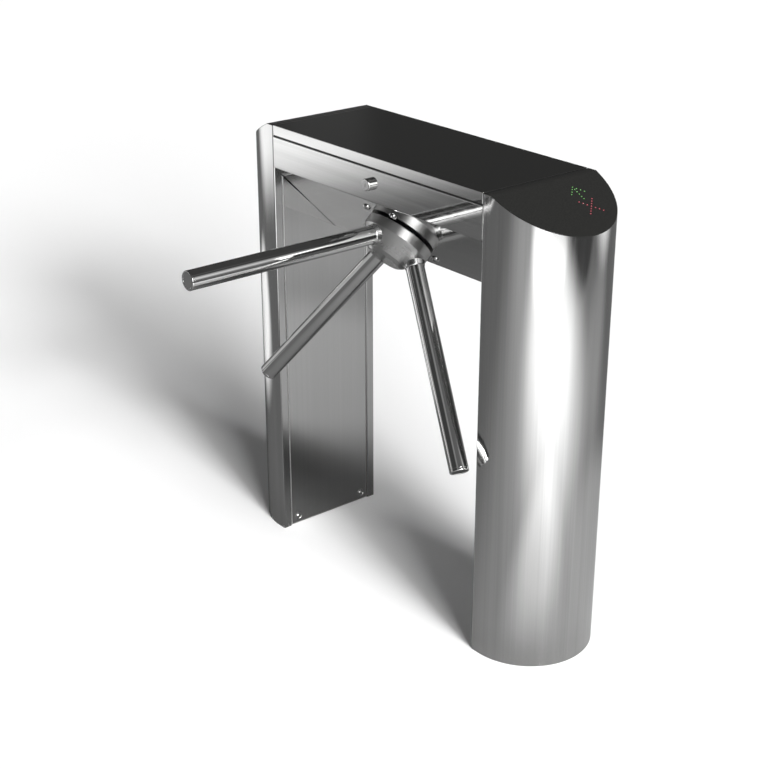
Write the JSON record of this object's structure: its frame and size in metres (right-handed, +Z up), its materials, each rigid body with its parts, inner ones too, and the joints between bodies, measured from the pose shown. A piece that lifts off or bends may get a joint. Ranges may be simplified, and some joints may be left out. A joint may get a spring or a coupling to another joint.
{
  "type": "tripod turnstile",
  "caption": "Waist-high access turnstile: half-round pedestals, a hinged-lid cabinet and a turning tripod of tubular arms that indexes by a third of a turn.",
  "frame": {"origin": "middle of the footprint of the two pedestals, on the floor", "axes": "+X along the cabinet, -Y towards the arms and the people who pass, +Z up"},
  "size_m": [1, 0.7309, 1],
  "materials": {
    "satin_steel": "brushed stainless sheet",
    "panel_steel": "brushed stainless sheet",
    "polished_steel": "polished stainless",
    "hub_steel": "turned and satin polished",
    "black_gloss": "smooth black",
    "black_rubber": "matt",
    "green_lens": "clear lens, green light",
    "red_lens": "clear lens, red light",
    "zinc_steel": "zinc plated",
    "plate_steel": "dark phosphated",
    "ground_steel": "ground",
    "gear_brass": "machined",
    "coil_wrap": "amber tape over copper winding",
    "motor_black": "black painted",
    "sensor_plastic": "moulded",
    "board_green": "solder mask",
    "supply_case": "plain sheet",
    "plug_plastic": "turned"
  },
  "bodies": {
    "frame": {"pedestal_skin_left": "satin_steel", "pedestal_skin_right": "satin_steel", "base_plate_left": "zinc_steel", "base_plate_right": "zinc_steel", "inner_panel_left": "panel_steel", "inner_panel_right": "panel_steel", "panel_screws": "polished_steel", "end_cap_left": "black_gloss", "end_cap_right": "black_gloss", "indicator_boards": "board_green", "arrow_leds": "green_lens", "cross_leds": "red_lens", "bridge_shell": "satin_steel", "end_plates": "zinc_steel", "bridge_bolts": "zinc_steel", "cable_grommets": "black_rubber", "lid_seal": "black_rubber", "hinge_fixed_leaves": "satin_steel", "hinge_pins": "ground_steel", "lock_housing": "polished_steel", "lock_nut": "zinc_steel", "face_screws": "polished_steel", "front_plate": "plate_steel", "rear_plate": "plate_steel", "spacer_posts": "zinc_steel", "bearing_housing": "plate_steel", "bearing_cover": "plate_steel", "housing_screws": "zinc_steel", "bearing_outer_rings": "ground_steel", "bearing_balls": "ground_steel", "hub_seal": "black_rubber", "solenoid_frames": "zinc_steel", "solenoid_coils": "coil_wrap", "gear_motor": "motor_black", "encoder_sensor": "sensor_plastic", "control_board": "board_green", "power_supply": "supply_case"},
    "rotor": {"rotor_hub": "hub_steel", "hub_cap": "hub_steel", "hub_bolt": "zinc_steel", "arm_front": "polished_steel", "arm_left": "polished_steel", "arm_right": "polished_steel", "arm_end_caps": "polished_steel", "arm_plugs": "plug_plastic", "arm_clamp_screws": "zinc_steel", "main_shaft": "ground_steel", "bearing_inner_rings": "ground_steel", "locking_disc": "plate_steel", "drive_gear": "gear_brass", "encoder_disc": "sensor_plastic"},
    "pinion": {"motor_pinion": "gear_brass"},
    "lock_bolt_left": {"lock_bolt_left": "ground_steel"},
    "lock_bolt_right": {"lock_bolt_right": "ground_steel"},
    "lid": {"lid_tray": "satin_steel", "lid_panel": "black_gloss", "lid_catch": "zinc_steel", "hinge_moving_leaves": "satin_steel"},
    "lock": {"lock_cylinder": "hub_steel", "lock_cam": "zinc_steel"}
  },
  "joints": [
    {"name": "rotor_spin", "type": "hinge", "parent": "frame", "child": "rotor", "pos_m": [0, -0.055, 0.821], "axis": [0, -0.7071, -0.7071], "continuous": true},
    {"name": "pinion_spin", "type": "hinge", "parent": "frame", "child": "pinion", "pos_m": [0, -0.00197, 0.76797], "axis": [0, -0.7071, -0.7071], "continuous": true},
    {"name": "lock_bolt_left_slide", "type": "slide", "parent": "frame", "child": "lock_bolt_left", "axis": [1, 0, 0], "range_m": [0, 0.012], "stiffness_N_per_m": 400, "springref_m": -0.004},
    {"name": "lock_bolt_right_slide", "type": "slide", "parent": "frame", "child": "lock_bolt_right", "axis": [-1, 0, 0], "range_m": [0, 0.012], "stiffness_N_per_m": 400, "springref_m": -0.004},
    {"name": "lid_hinge", "type": "hinge", "parent": "frame", "child": "lid", "pos_m": [0, 0.1438, 0.9775], "axis": [-1, 0, 0], "range_deg": [0, 95]},
    {"name": "lock_turn", "type": "hinge", "parent": "frame", "child": "lock", "pos_m": [0, -0.14, 0.9425], "axis": [0, 1, 0], "range_deg": [0, 90]}
  ],
  "couplings": [
    {"joint": "pinion_spin", "follows": "rotor_spin", "ratio": -4}
  ]
}
